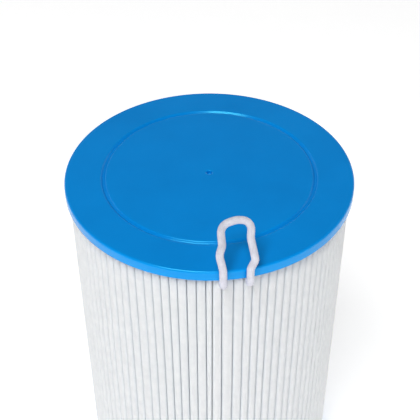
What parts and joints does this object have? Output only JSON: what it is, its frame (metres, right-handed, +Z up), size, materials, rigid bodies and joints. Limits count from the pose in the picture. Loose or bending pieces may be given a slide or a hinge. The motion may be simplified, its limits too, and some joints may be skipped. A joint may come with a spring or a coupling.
{
  "type": "filter cartridge",
  "caption": "Round pleated spa filter cartridge with cast end caps, a closed grooved top, a cord pull loop at its rim, a lattice core and an open bottom that slips over a standpipe.",
  "frame": {"origin": "centre of the standpipe hole in the bottom cap's flat lower face", "axes": "+Z up along the cartridge's axis, from the open bottom cap to the closed top cap; -Y towards the side that carries the pull loop, which stands 9.6 degrees from -Y towards +X"},
  "size_m": [0.216, 0.2222, 0.3503],
  "materials": {
    "cap_blue": "satin cast polyurethane, saturated sky blue",
    "media_white": "matt white spunbonded polyester",
    "seam_adhesive": "dull cured adhesive",
    "core_plastic": "satin moulded polypropylene, off-white",
    "loop_cord": "matt white braided polyester cord"
  },
  "bodies": {
    "root": {"top_cap": "cap_blue", "bottom_cap": "cap_blue", "pleated_media": "media_white", "media_seam_bond": "seam_adhesive", "core_upper_section": "core_plastic", "core_lower_section": "core_plastic", "loop_feet": "loop_cord"},
    "pull_loop": {"pull_loop": "loop_cord"}
  },
  "joints": [
    {"name": "pull_loop_flex", "type": "hinge", "parent": "root", "child": "pull_loop", "pos_m": [0.01853, -0.10954, 0.3094], "axis": [0.986, 0.1668, 0], "range_deg": [0, 90], "stiffness_Nm_per_rad": 0.05}
  ]
}
